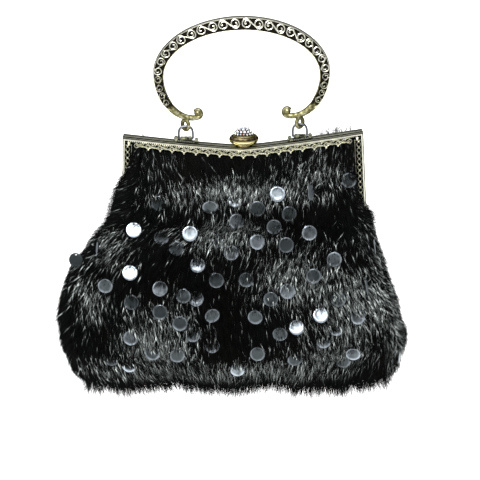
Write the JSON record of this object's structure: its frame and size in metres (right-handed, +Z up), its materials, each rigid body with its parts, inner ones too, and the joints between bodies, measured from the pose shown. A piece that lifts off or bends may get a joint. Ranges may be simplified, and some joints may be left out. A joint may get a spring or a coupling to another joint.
{
  "type": "fur evening clutch bag",
  "caption": "Small evening bag: a long-pile fur pouch sewn with round paillettes, gathered into a pierced metal clasp frame with a jewelled knob, under a scrolled metal hand handle.",
  "frame": {"origin": "top of the handle's opening, where a hand or a hook carries the hanging bag", "axes": "+Z up, +X to the wearer's left as the front is seen (the viewer's right), the front faces -Y"},
  "size_m": [0.2406, 0.0729, 0.2581],
  "materials": {
    "brass": "antique brass, relief rubbed pale over dark recesses",
    "steel": "plain drawn wire, grey",
    "glass": "clear cut stones on a foil back",
    "cloth": "black skin and lining",
    "fur": "long black pile with a silver sheen",
    "sequin": "thin polished discs, smoke grey"
  },
  "bodies": {
    "handle": {"handle": "brass"},
    "stirrups": {"stirrup_left": "steel", "stirrup_right": "steel"},
    "bag": {"lug_left": "brass", "hinge_pin_left": "brass", "lug_right": "brass", "hinge_pin_right": "brass", "frame_front": "brass", "frame_back": "brass", "clasp_collar": "brass", "pouch_wall": "cloth", "fur_pile": "fur", "paillette_01": "sequin", "paillette_02": "sequin", "paillette_03": "sequin", "paillette_04": "sequin", "paillette_05": "sequin", "paillette_06": "sequin", "paillette_07": "sequin", "paillette_08": "sequin", "paillette_09": "sequin", "paillette_10": "sequin", "paillette_11": "sequin", "paillette_12": "sequin", "paillette_13": "sequin", "paillette_14": "sequin", "paillette_15": "sequin", "paillette_16": "sequin", "paillette_17": "sequin", "paillette_18": "sequin", "paillette_19": "sequin", "paillette_20": "sequin", "paillette_21": "sequin", "paillette_22": "sequin", "paillette_23": "sequin", "paillette_24": "sequin", "paillette_25": "sequin", "paillette_26": "sequin", "paillette_27": "sequin", "paillette_28": "sequin", "paillette_29": "sequin", "paillette_30": "sequin", "paillette_31": "sequin", "paillette_32": "sequin", "paillette_33": "sequin", "paillette_34": "sequin", "paillette_35": "sequin", "paillette_36": "sequin", "paillette_37": "sequin", "paillette_38": "sequin", "paillette_39": "sequin", "paillette_40": "sequin"},
    "clasp": {"clasp_button": "brass", "clasp_stones": "glass"}
  },
  "joints": [
    {"name": "stirrups_swing", "type": "hinge", "parent": "handle", "child": "stirrups", "pos_m": [0, 0, -0.06215], "axis": [1, 0, 0], "range_deg": [-85, 85]},
    {"name": "bag_swing", "type": "hinge", "parent": "stirrups", "child": "bag", "pos_m": [0, 0, -0.0704], "axis": [1, 0, 0], "range_deg": [-65, 65]},
    {"name": "clasp_press", "type": "slide", "parent": "bag", "child": "clasp", "axis": [0, 0, 1], "range_m": [-0.0015, 0], "stiffness_N_per_m": 400, "springref_m": 0.001}
  ]
}
